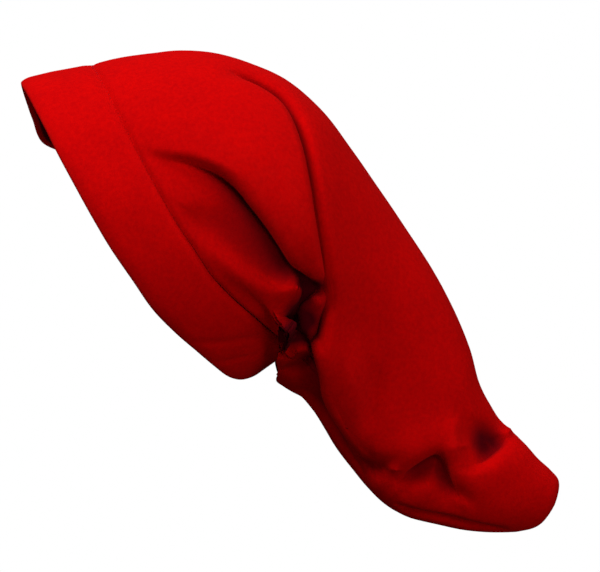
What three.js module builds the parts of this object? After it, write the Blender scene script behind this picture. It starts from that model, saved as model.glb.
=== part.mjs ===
// A soft dwarf costume cap in the shape that a head gives it: a doubled band round the head opening, and a bag of two
// mirrored cloth panels whose long end folds over at the back and hangs down.
// The wearer faces -X, +Z is up, and the origin is the middle of the head opening. Millimetres and degrees.

import * as THREE from "three";

// Head opening and band
const RIM_LENGTH = 210; // forehead to nape, across the head opening
const RIM_WIDTH = 156; // side to side, over the ears
const RIM_TILT = 52; // how far the line from forehead to nape slopes down
const RIM_HANG = 20; // how far the sides of the rim can hang below that line
const BAND_HEIGHT = 37; // rim to seam, square to the head opening
const BAND_WALL = 3; // two layers of cloth
const BAND_PUFF = 1.5; // how far the middle of the band stands out

// Crown and hanging end
const CLOTH_WALL = 2;
const SEAM_GAP = 0.3; // clear space between pieces that are sewn together
const CROWN_RISE = 86; // band seam to the furthest point of the crown
const SAG_POWER = 4; // how close to the nape the crown's sag stays
const TAIL_LENGTH = 178; // fold to tip
const TAIL_WIDTH = 111; // across the flat of the hanging end
const TAIL_THICKNESS = 75; // from its left face to its right face
const TAIL_DROP = 45; // how steeply it hangs below the horizontal

// Folds
const FOLD_DEPTH = 10;
const FOLD_REACH = 25;
const LEAST_SHOULDER = 4; // no raised edge rounds down over less than this

// Facets
const ROWS_PER_SECTION = 1.85;
const PANEL_COLUMNS = 30;
const BAND_COLUMNS = 60;
const CLOSER = 0.4; // how much closer than even the columns lie at the middle of the side, where the folds are
const STEPS_PER_POINT = 5; // straight steps of a fold's path from one point of its table to the next
const NORMAL_STEP = 0.004; // sections, and shares of the way round, over which a normal is measured

const radians = THREE.MathUtils.degToRad;

// Crown sections, from the band seam to the fold. Each one is a chord from its top to its nape end, with the cloth
// arched out to the side. along is a share of RIM_LENGTH towards the forehead, out is a share of CROWN_RISE past the
// seam, sag is the share of CROWN_RISE by which the nape end hangs below its chord, side is a share of half of
// RIM_WIDTH, dip is a share of the rim's hang, and square is 2 for an ellipse.
const CROWN_SECTIONS = [
  { topAlong: 0.416, topOut: 0, napeAlong: -0.501, napeOut: -0.02, sag: 0, side: 0.985, dip: 1, square: 2.0 },
  { topAlong: 0.406, topOut: 0.06, napeAlong: -0.517, napeOut: 0.06, sag: 0.015, side: 0.99, dip: 0.91, square: 2.0 },
  { topAlong: 0.392, topOut: 0.14, napeAlong: -0.534, napeOut: 0.1, sag: 0.126, side: 1.0, dip: 0.79, square: 2.0 },
  { topAlong: 0.372, topOut: 0.234, napeAlong: -0.538, napeOut: 0.13, sag: 0.286, side: 1.0, dip: 0.62, square: 2.05 },
  { topAlong: 0.342, topOut: 0.358, napeAlong: -0.537, napeOut: 0.15, sag: 0.41, side: 1.0, dip: 0.44, square: 2.1 },
  { topAlong: 0.302, topOut: 0.511, napeAlong: -0.547, napeOut: 0.16, sag: 0.47, side: 0.99, dip: 0.29, square: 2.1 },
  { topAlong: 0.239, topOut: 0.68, napeAlong: -0.572, napeOut: 0.14, sag: 0.44, side: 0.97, dip: 0.18, square: 2.1 },
  { topAlong: 0.161, topOut: 0.82, napeAlong: -0.6, napeOut: 0.09, sag: 0.37, side: 0.93, dip: 0.09, square: 2.15 },
  { topAlong: 0.066, topOut: 0.94, napeAlong: -0.627, napeOut: -0.037, sag: 0.22, side: 0.87, dip: 0, square: 2.2 },
  { topAlong: -0.05, topOut: 1.0, napeAlong: -0.655, napeOut: -0.143, sag: 0.11, side: 0.79, dip: 0, square: 2.25 },
  { topAlong: -0.186, topOut: 0.998, napeAlong: -0.683, napeOut: -0.253, sag: 0, side: 0.7, dip: 0, square: 2.3 },
];

// Sections of the hanging end, from the fold to the tip. along is a share of TAIL_LENGTH, drift (towards the outer
// edge) and half (half the chord) are shares of TAIL_WIDTH, turn is degrees from square to the hanging direction,
// and side is a share of half of TAIL_THICKNESS.
const TAIL_SECTIONS = [
  { along: 0.103, drift: -0.028, half: 0.62, turn: 32.0, side: 1.25, square: 2.3 },
  { along: 0.215, drift: -0.063, half: 0.588, turn: 28.5, side: 1.1, square: 2.35 },
  { along: 0.324, drift: -0.093, half: 0.552, turn: 24.5, side: 1.0, square: 2.4 },
  { along: 0.431, drift: -0.133, half: 0.505, turn: 20.0, side: 0.92, square: 2.4 },
  { along: 0.533, drift: -0.173, half: 0.453, turn: 17.0, side: 0.85, square: 2.4 },
  { along: 0.621, drift: -0.204, half: 0.385, turn: 16.0, side: 0.79, square: 2.4 },
  { along: 0.71, drift: -0.186, half: 0.326, turn: 16.5, side: 0.72, square: 2.4 },
  { along: 0.802, drift: -0.147, half: 0.277, turn: 16.5, side: 0.64, square: 2.35 },
  { along: 0.884, drift: -0.102, half: 0.222, turn: 17.5, side: 0.55, square: 2.3 },
  { along: 0.943, drift: -0.053, half: 0.178, turn: 18.5, side: 0.44, square: 2.2 },
  { along: 0.981, drift: -0.014, half: 0.124, turn: 20.0, side: 0.31, square: 2.1 },
  { along: 1.0, drift: 0.005, half: 0.0, turn: 20.0, side: 0.0, square: 2.0 },
];

// How far each side of the rim hangs, as shares of RIM_HANG, in even steps from the forehead to the nape.
const RIM_SHAPE = [
  { left: 0, right: 0 },
  { left: 0.05, right: 0.05 },
  { left: 0.1, right: 0.15 },
  { left: 0.2, right: 0.3 },
  { left: 0.33, right: 0.46 },
  { left: 0.5, right: 0.1 },
  { left: 0.66, right: 0.15 },
  { left: 0.82, right: 0.3 },
  { left: 0.95, right: 0.38 },
  { left: 1.01, right: 0.42 },
  { left: 1.06, right: 0.42 },
  { left: 0.96, right: 0.42 },
  { left: 0.8, right: 0.4 },
  { left: 0.66, right: 0.35 },
  { left: 0.52, right: 0.24 },
  { left: 0.29, right: 0.11 },
  { left: 0, right: 0 },
];

// Folds that lie over the cloth beside them. The cloth to the left of the path stands up by lift and the cloth to its
// right sinks, both shares of FOLD_DEPTH. shoulder is the width over which the raised edge rounds down to the path,
// and it and the reaches are shares of FOLD_REACH. A path point is a section number, a share of the way from the top
// seam to the nape seam, and how much of the lift and of the sink there is.
const LEFT_FOLDS = [
  {
    name: "roll, flap and front edge",
    lift: 0.55,
    sink: 0.9,
    shoulder: 0.3,
    leftReach: 1.0,
    rightReach: 0.45,
    path: [
      [0.05, 0.37, 0, 0],
      [1.41, 0.388, 0.3, 0.25],
      [2.62, 0.41, 0.6, 0.5],
      [3.55, 0.44, 0.9, 0.8],
      [4.22, 0.47, 1, 1],
      [5.16, 0.551, 1, 1],
      [6.15, 0.615, 1, 1],
      [7.07, 0.613, 0.9, 1],
      [8.46, 0.587, 0.6, 1],
      [7.42, 0.651, 0.6, 1],
      [6.64, 0.689, 0.7, 1],
      [6.41, 0.717, 0.7, 1],
      [6.66, 0.743, 0.7, 1],
      [7.43, 0.752, 0.8, 1],
      [8.17, 0.773, 1, 1],
      [9.37, 0.795, 1, 1],
      [10.58, 0.836, 0.9, 1],
      [11.6, 0.855, 0.7, 0.8],
      [12.45, 0.857, 0.5, 0.5],
      [13.34, 0.862, 0, 0],
    ],
  },
  {
    name: "crease down the fold",
    lift: 0.3,
    sink: 0.5,
    shoulder: 0.2,
    leftReach: 0.7,
    rightReach: 0.25,
    path: [
      [7.83, 0.744, 0.3, 0.5],
      [8.84, 0.629, 0.6, 0.9],
      [9.14, 0.578, 0.8, 1],
      [8.63, 0.537, 1, 1],
      [8.19, 0.491, 1, 1],
      [8.1, 0.413, 1, 1],
      [8.05, 0.339, 1, 1],
      [7.9, 0.269, 1, 0.9],
      [7.61, 0.217, 0.9, 0.7],
      [6.57, 0.176, 0.3, 0.25],
      [5.96, 0.175, 0, 0],
    ],
  },
  {
    name: "turn under the crown",
    lift: 0.2,
    sink: 0.9,
    shoulder: 0.2,
    leftReach: 0.6,
    rightReach: 0.45,
    path: [
      [3.6, 0.8, 0, 0],
      [4.21, 0.762, 1, 1],
      [5.72, 0.728, 1, 1],
      [6.43, 0.689, 1, 1],
      [6.72, 0.658, 0.8, 1],
      [6.48, 0.621, 0, 0.3],
    ],
  },
];

const RIGHT_FOLDS = [
  {
    name: "roll over the side",
    lift: 0.5,
    sink: 0.7,
    shoulder: 0.4,
    leftReach: 1.0,
    rightReach: 1.0,
    path: [
      [4.0, 0.42, 0, 0],
      [6.0, 0.48, 0.7, 0.7],
      [7.4, 0.57, 0.6, 1],
      [9.0, 0.58, 0, 0.6],
      [9.8, 0.57, 0, 0],
    ],
  },
  {
    name: "crease down the fold",
    lift: 0.3,
    sink: 0.5,
    shoulder: 0.3,
    leftReach: 0.7,
    rightReach: 0.5,
    path: [
      [10.3, 0.62, 0, 0],
      [9.9, 0.56, 0.3, 0.8],
      [9.4, 0.45, 1, 1],
      [8.6, 0.28, 0.8, 0.8],
      [7.6, 0.14, 0, 0],
    ],
  },
  {
    name: "front edge of the hanging end",
    lift: 0.3,
    sink: 0.9,
    shoulder: 0.4,
    leftReach: 0.8,
    rightReach: 1.0,
    path: [
      [9.5, 0.55, 0, 0],
      [9.7, 0.65, 0.5, 0.9],
      [10.2, 0.76, 1, 1],
      [11.6, 0.87, 0, 0],
    ],
  },
];

// Soft ridges and dents with no overlap: height is a share of FOLD_DEPTH, below 0 for a dent, and reach is a share of
// FOLD_REACH on each side of the path. The last number of a path point is the strength there.
const LEFT_SWELLS = [
  { name: "hollow below the roll", height: -0.4, reach: 0.5, path: [[1.2, 0.48, 0], [3.4, 0.58, 1], [6.3, 0.656, 0.3]] },
  { name: "ridge below the hollow", height: 0.35, reach: 0.25, path: [[0.5, 0.54, 0], [3.8, 0.667, 1], [6.3, 0.656, 0.4]] },
  { name: "ridge down the front", height: 0.3, reach: 0.25, path: [[10.4, 0.5, 0], [11.1, 0.61, 1], [12.5, 0.8, 0.3]] },
  { name: "valley beside it", height: -0.3, reach: 0.25, path: [[11.4, 0.5, 0], [11.85, 0.6, 1], [12.35, 0.722, 0]] },
  { name: "dent at the outer edge", height: -0.7, reach: 0.45, path: [[17.8, 0.2, 0.6], [17.4, 0.33, 1], [17.1, 0.47, 0]] },
  { name: "dent in the middle", height: -0.6, reach: 0.4, path: [[15.1, 0.7, 0.3], [16.0, 0.58, 1], [17.1, 0.66, 0]] },
  { name: "dent at the front edge", height: -0.5, reach: 0.3, path: [[13.1, 0.87, 0], [13.7, 0.8, 1], [14.6, 0.71, 0]] },
];

const RIGHT_SWELLS = [
  { name: "ridge down the front", height: 0.25, reach: 0.4, path: [[10.6, 0.4, 0], [12.0, 0.58, 1], [13.6, 0.74, 0]] },
  { name: "dent in the middle", height: -0.5, reach: 0.5, path: [[14.6, 0.5, 0.5], [15.6, 0.46, 1], [16.4, 0.36, 0.6]] },
  { name: "hollow below the roll", height: -0.35, reach: 0.6, path: [[2.0, 0.55, 0], [4.5, 0.62, 1], [7.2, 0.66, 0]] },
];

// Where the folds die out: beside the two seams, as a share of the way round, and above the band, in sections. From
// NAPE_AROUND to the nape the bag hangs over the band, and its sections up to NAPE_SECTION are smooth.
const SEAM_FADE = 0.07;
const BAND_FADE = 1.2;
const NAPE_SECTION = 4.5;
const NAPE_AROUND = 0.66;
const NAPE_BLEND = 0.12;

// Point of the middle plane, from its distances along the rim line towards the forehead and out of the crown.
function inProfile(along, out) {
  const tilt = radians(RIM_TILT);
  return [out * Math.sin(tilt) - along * Math.cos(tilt), along * Math.sin(tilt) + out * Math.cos(tilt)];
}

// A section is the row [top x, top z, nape x, nape z, side, dip, sag, square].
function crownSection({ topAlong, topOut, napeAlong, napeOut, sag, side, dip, square }) {
  const top = inProfile(topAlong * RIM_LENGTH, BAND_HEIGHT + topOut * CROWN_RISE);
  const nape = inProfile(napeAlong * RIM_LENGTH, BAND_HEIGHT + napeOut * CROWN_RISE);
  return [...top, ...nape, (side * RIM_WIDTH) / 2, dip, sag * CROWN_RISE, square];
}

function tailSection({ along, drift, half, turn, side, square }, [rootX, rootZ]) {
  const drop = radians(TAIL_DROP);
  const lean = radians(90 - TAIL_DROP + turn);
  const x = rootX + along * TAIL_LENGTH * Math.cos(drop) + drift * TAIL_WIDTH * Math.sin(drop);
  const z = rootZ - along * TAIL_LENGTH * Math.sin(drop) + drift * TAIL_WIDTH * Math.cos(drop);
  const chordX = half * TAIL_WIDTH * Math.cos(lean);
  const chordZ = half * TAIL_WIDTH * Math.sin(lean);
  return [x + chordX, z + chordZ, x - chordX, z - chordZ, (side * TAIL_THICKNESS) / 2, 0, 0, square];
}

function allSections() {
  const crown = CROWN_SECTIONS.map(crownSection);
  const [topX, topZ, napeX, napeZ] = crown[crown.length - 1];
  const root = [(topX + napeX) / 2, (topZ + napeZ) / 2];
  return [...crown, ...TAIL_SECTIONS.map((row) => tailSection(row, root))];
}

// Value of a table of rows at a fractional row number, along a smooth curve through every row.
function between(rows, at) {
  const last = rows.length - 1;
  const i = Math.min(Math.max(Math.floor(at), 0), last - 1);
  const t = at - i;
  return rows[i].map((start, k) => {
    const end = rows[i + 1][k];
    const before = i > 0 ? rows[i - 1][k] : 2 * start - end;
    const after = i + 2 <= last ? rows[i + 2][k] : 2 * end - start;
    const bend = 2 * before - 5 * start + 4 * end - after;
    const twist = 3 * (start - end) + after - before;
    return start + 0.5 * t * (end - before + t * (bend + t * twist));
  });
}

// How far the rim hangs at a share of the way round it.
function hangAt(around, hand) {
  const rows = RIM_SHAPE.map(({ left, right }) => [hand < 0 ? left : right]);
  return RIM_HANG * between(rows, around * (rows.length - 1))[0];
}

// Point at a share of the way round a section, from its top seam to its nape seam, and puff millimetres outside it.
// hand is -1 on the left, 1 on the right.
function onSection(section, around, hand, puff = 0) {
  const [topX, topZ, napeX, napeZ, side, dip, sag, square] = section;
  const halfX = (topX - napeX) / 2;
  const halfZ = (topZ - napeZ) / 2;
  const half = Math.hypot(halfX, halfZ) || 1;
  const angle = Math.PI * around;
  const cosine = Math.cos(angle);
  const sine = Math.max(Math.sin(angle), 0);
  const reach = Math.sign(cosine) * Math.abs(cosine) ** (2 / square) * (1 + puff / half);
  const hang = (dip * hangAt(around, hand)) / half;
  const [sagX, sagZ] = inProfile(0, sag * THREE.MathUtils.clamp((1 - reach) / 2, 0, 1) ** SAG_POWER);
  return new THREE.Vector3(
    (topX + napeX) / 2 + halfX * reach - halfZ * hang - sagX,
    hand * (SEAM_GAP / 2 + (side + puff) * sine ** (2 / square)),
    (topZ + napeZ) / 2 + halfZ * reach + halfX * hang - sagZ,
  );
}

const SECTIONS = allSections();
const TIP = SECTIONS.length - 1;
const RIM_SECTION = [...inProfile(RIM_LENGTH / 2, 0), ...inProfile(-RIM_LENGTH / 2, 0), RIM_WIDTH / 2, 1, 0, 2];

const clothPoint = (at, around, hand) => onSection(between(SECTIONS, at), around, hand);

// Unit vector out of the cloth. It is taken just inside the seams and the tip, where the surface has no width.
function outOfCloth(at, around, hand) {
  const step = NORMAL_STEP;
  const row = THREE.MathUtils.clamp(at, step, TIP - 20 * step);
  const share = THREE.MathUtils.clamp(around, 2 * step, 1 - 2 * step);
  const down = clothPoint(row + step, share, hand).sub(clothPoint(row - step, share, hand));
  const across = clothPoint(row, share + step, hand).sub(clothPoint(row, share - step, hand));
  return across.cross(down).multiplyScalar(-hand).normalize();
}

const bell = (distance, reach) => Math.exp(-((Math.max(distance, 0) / reach) ** 2));

// A path as points of the middle plane with the strengths at each. A swell has one strength, used as both.
function foldPath(path) {
  const steps = STEPS_PER_POINT * (path.length - 1);
  return Array.from({ length: steps + 1 }, (_, i) => {
    const [at, around, lifted, sunk = lifted] = between(path, i / STEPS_PER_POINT);
    const { x, z } = clothPoint(at, around, -1);
    return { x, z, lifted: THREE.MathUtils.clamp(lifted, 0, 1), sunk: THREE.MathUtils.clamp(sunk, 0, 1) };
  });
}

// Distance from a point to a path, positive to the left of it, and the strengths of the nearest part.
function fromPath(x, z, points) {
  let best = { square: Infinity, side: 1, lifted: 0, sunk: 0 };
  for (let i = 0; i < points.length - 1; i++) {
    const start = points[i];
    const end = points[i + 1];
    const runX = end.x - start.x;
    const runZ = end.z - start.z;
    const share = ((x - start.x) * runX + (z - start.z) * runZ) / (runX ** 2 + runZ ** 2 || 1);
    const t = THREE.MathUtils.clamp(share, 0, 1);
    const square = (x - start.x - t * runX) ** 2 + (z - start.z - t * runZ) ** 2;
    if (square < best.square) {
      const side = Math.sign(runX * (z - start.z) - runZ * (x - start.x)) || 1;
      const lifted = THREE.MathUtils.lerp(start.lifted, end.lifted, t);
      const sunk = THREE.MathUtils.lerp(start.sunk, end.sunk, t);
      best = { square, side, lifted, sunk };
    }
  }
  return { distance: best.side * Math.sqrt(best.square), lifted: best.lifted, sunk: best.sunk };
}

const withPoints = (rows) => rows.map((row) => ({ ...row, points: foldPath(row.path) }));
const FOLDS = { "-1": withPoints(LEFT_FOLDS), 1: withPoints(RIGHT_FOLDS) };
const SWELLS = { "-1": withPoints(LEFT_SWELLS), 1: withPoints(RIGHT_SWELLS) };

// How far the folds raise the cloth at a point, in millimetres.
function foldHeight(at, around, hand) {
  const { x, z } = clothPoint(at, around, hand);
  let height = 0;
  for (const { points, lift, sink, shoulder, leftReach, rightReach } of FOLDS[hand]) {
    const { distance, lifted, sunk } = fromPath(x, z, points);
    const width = Math.max(shoulder * FOLD_REACH, LEAST_SHOULDER);
    const raised = THREE.MathUtils.smoothstep(distance, 0, width);
    const left = raised * bell(distance - width, leftReach * FOLD_REACH);
    const right = (1 - raised) * bell(-distance, rightReach * FOLD_REACH);
    height += lifted * lift * left - sunk * sink * right;
  }
  for (const { points, height: rise, reach } of SWELLS[hand]) {
    const { distance, lifted } = fromPath(x, z, points);
    height += lifted * rise * bell(Math.abs(distance), reach * FOLD_REACH);
  }
  const seams = THREE.MathUtils.smoothstep(Math.min(around, 1 - around), 0, SEAM_FADE);
  const start = NAPE_SECTION * THREE.MathUtils.smoothstep(around, NAPE_AROUND, NAPE_AROUND + NAPE_BLEND);
  return FOLD_DEPTH * height * seams * THREE.MathUtils.smoothstep(at, start, start + BAND_FADE);
}

// Share of the way from the top seam to the nape seam for an even share of the columns.
const columnShare = (share) => share + (CLOSER * Math.sin(2 * Math.PI * share)) / (2 * Math.PI);

// Indexed geometry of a closed surface from its points and its faces, each a triangle of point numbers.
function closedGeometry(points, faces) {
  const geometry = new THREE.BufferGeometry().setFromPoints(points);
  geometry.setIndex(faces.flat());
  geometry.computeVertexNormals();
  return geometry;
}

// Point of a panel's outer face, or of its inner face one wall inside it. The cut edge at the band lies flat on the
// seam, the tip is thickened along the hanging end, and nothing crosses the middle plane.
function panelPoint(at, around, hand, inner) {
  const outer = clothPoint(at, around, hand).addScaledVector(outOfCloth(at, around, hand), foldHeight(at, around, hand));
  if (!inner) return onOwnSide(outer, hand);
  const normal = outOfCloth(at, around, hand);
  const edge = clothPoint(at, around, hand).sub(onSection(between(SECTIONS, at), around, hand, -CLOTH_WALL));
  const along = new THREE.Vector3(Math.cos(radians(TAIL_DROP)), 0, -Math.sin(radians(TAIL_DROP)));
  if (at < 1) normal.lerp(edge.normalize(), 1 - at).normalize();
  if (at > TIP - 1) normal.lerp(along, at - TIP + 1).normalize();
  return onOwnSide(outer.addScaledVector(normal, -CLOTH_WALL), hand);
}

function onOwnSide(point, hand) {
  point.y = hand * Math.max(hand * point.y, SEAM_GAP / 2);
  return point;
}

// One side of the bag, from the band seam to the tip: an outer face, an inner face and the cut edges between them.
// Every row ends in one point at the tip.
function panelGeometry(hand) {
  const rows = Math.round(TIP * ROWS_PER_SECTION);
  const columns = PANEL_COLUMNS;
  const layer = rows * (columns + 1) + 1;
  const points = [];
  for (const inner of [false, true])
    for (let i = 0; i <= rows; i++)
      for (let j = 0; j <= (i < rows ? columns : 0); j++)
        points.push(panelPoint((i / rows) * TIP, i < rows ? columnShare(j / columns) : 0.5, hand, inner));
  const corner = (face, i, j) => face * layer + (i < rows ? i * (columns + 1) + j : layer - 1);
  const faces = [];
  const quad = (a, b, c, d) => {
    if (a !== b) faces.push(hand < 0 ? [a, b, c] : [a, c, b]);
    if (c !== d) faces.push(hand < 0 ? [a, c, d] : [a, d, c]);
  };
  for (let i = 0; i < rows; i++)
    for (let j = 0; j < columns; j++) {
      quad(corner(0, i, j), corner(0, i, j + 1), corner(0, i + 1, j + 1), corner(0, i + 1, j));
      quad(corner(1, i, j + 1), corner(1, i, j), corner(1, i + 1, j), corner(1, i + 1, j + 1));
    }
  for (let j = 0; j < columns; j++) quad(corner(1, 0, j), corner(1, 0, j + 1), corner(0, 0, j + 1), corner(0, 0, j));
  for (let i = 0; i < rows; i++) {
    quad(corner(1, i, 0), corner(0, i, 0), corner(0, i + 1, 0), corner(1, i + 1, 0));
    quad(corner(0, i, columns), corner(1, i, columns), corner(1, i + 1, columns), corner(0, i + 1, columns));
  }
  return closedGeometry(points, faces);
}

// The band: one closed ring whose section is a wall with a rounded fold at the rim.
function bandGeometry() {
  const top = 1 - SEAM_GAP / BAND_HEIGHT;
  const round = BAND_WALL / 2 / BAND_HEIGHT;
  const outer = (BAND_WALL - CLOTH_WALL) / 2;
  const inner = outer - BAND_WALL;
  // share of the height, distance out of the panels' outer face
  const outline = [
    [top, outer],
    [0.5, outer],
    [round, outer],
    [0, (outer + inner) / 2],
    [round, inner],
    [0.5, inner],
    [top, inner],
  ];
  const points = [];
  for (let j = 0; j < BAND_COLUMNS; j++) {
    const turn = (2 * j) / BAND_COLUMNS;
    const hand = turn <= 1 ? -1 : 1;
    const around = columnShare(turn <= 1 ? turn : 2 - turn);
    for (const [share, out] of outline) {
      const section = between([RIM_SECTION, SECTIONS[0]], share);
      const puff = out + BAND_PUFF * 4 * share * (1 - share) * Math.sin(Math.PI * around);
      const point = onSection(section, around, hand, puff);
      if (j % (BAND_COLUMNS / 2) === 0) point.y = 0;
      points.push(point);
    }
  }
  const faces = [];
  const size = outline.length;
  for (let j = 0; j < BAND_COLUMNS; j++)
    for (let i = 0; i < size; i++) {
      const next = (j + 1) % BAND_COLUMNS;
      const [a, b] = [j * size + i, j * size + ((i + 1) % size)];
      const [c, d] = [next * size + ((i + 1) % size), next * size + i];
      faces.push([a, b, c], [a, c, d]);
    }
  return closedGeometry(points, faces);
}

const felt = new THREE.MeshStandardMaterial({ color: 0xc00000, roughness: 0.95, metalness: 0, side: THREE.DoubleSide });

function piece(name, geometry) {
  const mesh = new THREE.Mesh(geometry, felt.clone());
  mesh.name = name;
  return mesh;
}

const cap = new THREE.Group();
cap.name = "dwarf_cap";
cap.add(piece("hem_band", bandGeometry()));
cap.add(piece("left_panel", panelGeometry(-1)));
cap.add(piece("right_panel", panelGeometry(1)));

export default cap;
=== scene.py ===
"""Looks of a soft red dwarf hat, folded as a head and its own weight leave it.

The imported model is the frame. Everything is in metres, the wearer faces -X, +Z is up, and the side that the
camera sees is -Y.
"""

from __future__ import annotations

import logging
import math
from dataclasses import dataclass, field
from enum import Enum

import bpy
import numpy as np
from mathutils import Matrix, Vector

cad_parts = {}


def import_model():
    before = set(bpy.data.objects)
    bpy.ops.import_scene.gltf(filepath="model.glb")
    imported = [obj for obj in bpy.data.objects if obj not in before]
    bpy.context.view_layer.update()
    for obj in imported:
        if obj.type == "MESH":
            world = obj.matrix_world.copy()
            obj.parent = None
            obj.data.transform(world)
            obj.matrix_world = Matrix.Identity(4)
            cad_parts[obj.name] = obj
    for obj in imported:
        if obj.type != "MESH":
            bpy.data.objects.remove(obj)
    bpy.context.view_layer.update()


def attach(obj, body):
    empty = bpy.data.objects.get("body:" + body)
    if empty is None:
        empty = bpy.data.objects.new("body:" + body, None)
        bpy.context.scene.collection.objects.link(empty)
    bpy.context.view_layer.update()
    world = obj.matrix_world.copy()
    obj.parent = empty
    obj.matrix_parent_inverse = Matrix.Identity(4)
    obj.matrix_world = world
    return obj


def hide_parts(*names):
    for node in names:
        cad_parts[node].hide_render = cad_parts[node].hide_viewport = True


LOG = logging.getLogger("dwarf_hat")
BODY = "root"
MM = 0.001
FOLD_DEPTH = 10 * MM
FOLD_REACH = 25 * MM
SHARP_ANGLE = math.radians(70)
LEAST_LENGTH = 1e-6
NO_LENGTH = 1e-12

Array = np.ndarray
Faces = list[tuple[int, ...]]
Path = tuple[tuple[float, ...], ...]
Colour = tuple[float, float, float]


class Hand(Enum):
    """The side of the middle plane that a panel lies on, as the sign of Y."""

    LEFT = -1
    RIGHT = 1


@dataclass(frozen=True)
class CrownSection:
    """One chord of the crown, from its top to its nape end, with the cloth arched out to the side.

    along is a share of the rim's length towards the forehead, out a share of the crown's rise past the seam,
    sag the share of it by which the nape end hangs below its chord, side a share of half of the rim's width,
    dip the share of the rim's hang that it takes, and square is 2 for an ellipse.
    """

    top_along: float
    top_out: float
    nape_along: float
    nape_out: float
    sag: float
    side: float
    dip: float
    square: float


@dataclass(frozen=True)
class TailSection:
    """One chord of the hanging end.

    along is a share of its length, drift towards its outer edge and half its chord are shares of its width,
    turn is in degrees from square to the hanging direction, side is a share of half of its thickness, and
    square is 2 for an ellipse.
    """

    along: float
    drift: float
    half: float
    turn: float
    side: float
    square: float


@dataclass(frozen=True)
class RimHang:
    """How far each side of the rim hangs past a straight opening, as shares of HatForm.rim_hang.

    The rows lie evenly from the forehead to the nape.
    """

    left: float
    right: float


@dataclass(frozen=True)
class BandCrease:
    """A shallow crease across the band, between two turns round it and two shares of its height."""

    turn_low: float
    low: float
    turn_high: float
    high: float
    depth: float
    width: float


@dataclass(frozen=True)
class Fold:
    """A fold that lies over the cloth beside it.

    The cloth to the left of the path stands up by lift, the cloth to its right goes down by sink, and groove
    is how much deeper the narrow fold line itself lies, all shares of FOLD_DEPTH. lap is the share by which
    the raised edge reaches over. shoulder is the width over which that edge rounds down to the path, and it
    and the reaches are shares of FOLD_REACH. A path point is a section number, a share of the way from the
    top seam to the nape seam, and how much of the lift and of the sink there is.
    """

    name: str
    lift: float
    sink: float
    groove: float
    lap: float
    shoulder: float
    left_reach: float
    right_reach: float
    path: tuple[tuple[float, float, float, float], ...]


@dataclass(frozen=True)
class Swell:
    """A soft ridge, or a dent where height is below 0, in the same shares as a fold.

    A path point is a section number, a share of the way from the top seam to the nape seam, and the strength
    there.
    """

    name: str
    height: float
    reach: float
    path: tuple[tuple[float, float, float], ...]


CROWN = (
    CrownSection(0.416, 0, -0.501, -0.02, 0, 0.985, 1, 2.0),
    CrownSection(0.406, 0.06, -0.517, 0.06, 0.015, 0.99, 0.91, 2.0),
    CrownSection(0.392, 0.14, -0.534, 0.1, 0.126, 1.0, 0.79, 2.0),
    CrownSection(0.372, 0.234, -0.538, 0.13, 0.286, 1.0, 0.62, 2.05),
    CrownSection(0.342, 0.358, -0.537, 0.15, 0.41, 1.0, 0.44, 2.1),
    CrownSection(0.302, 0.511, -0.547, 0.16, 0.47, 0.99, 0.29, 2.1),
    CrownSection(0.239, 0.68, -0.572, 0.14, 0.44, 0.97, 0.18, 2.1),
    CrownSection(0.161, 0.82, -0.6, 0.09, 0.37, 0.93, 0.09, 2.15),
    CrownSection(0.066, 0.94, -0.627, -0.037, 0.22, 0.87, 0, 2.2),
    CrownSection(-0.05, 1.0, -0.655, -0.143, 0.11, 0.79, 0, 2.25),
    CrownSection(-0.186, 0.998, -0.683, -0.253, 0, 0.7, 0, 2.3),
)

TAIL = (
    TailSection(0.103, -0.028, 0.62, 32.0, 1.25, 2.3),
    TailSection(0.215, -0.063, 0.588, 28.5, 1.1, 2.35),
    TailSection(0.324, -0.093, 0.552, 24.5, 1.0, 2.4),
    TailSection(0.431, -0.133, 0.505, 20.0, 0.92, 2.4),
    TailSection(0.533, -0.173, 0.453, 17.0, 0.85, 2.4),
    TailSection(0.621, -0.204, 0.385, 16.0, 0.79, 2.4),
    TailSection(0.71, -0.186, 0.326, 16.5, 0.72, 2.4),
    TailSection(0.802, -0.147, 0.277, 16.5, 0.64, 2.35),
    TailSection(0.884, -0.102, 0.222, 17.5, 0.55, 2.3),
    TailSection(0.943, -0.053, 0.178, 18.5, 0.44, 2.2),
    TailSection(0.981, -0.014, 0.124, 20.0, 0.31, 2.1),
    TailSection(1.0, 0.005, 0.0, 20.0, 0.0, 2.0),
)

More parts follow.
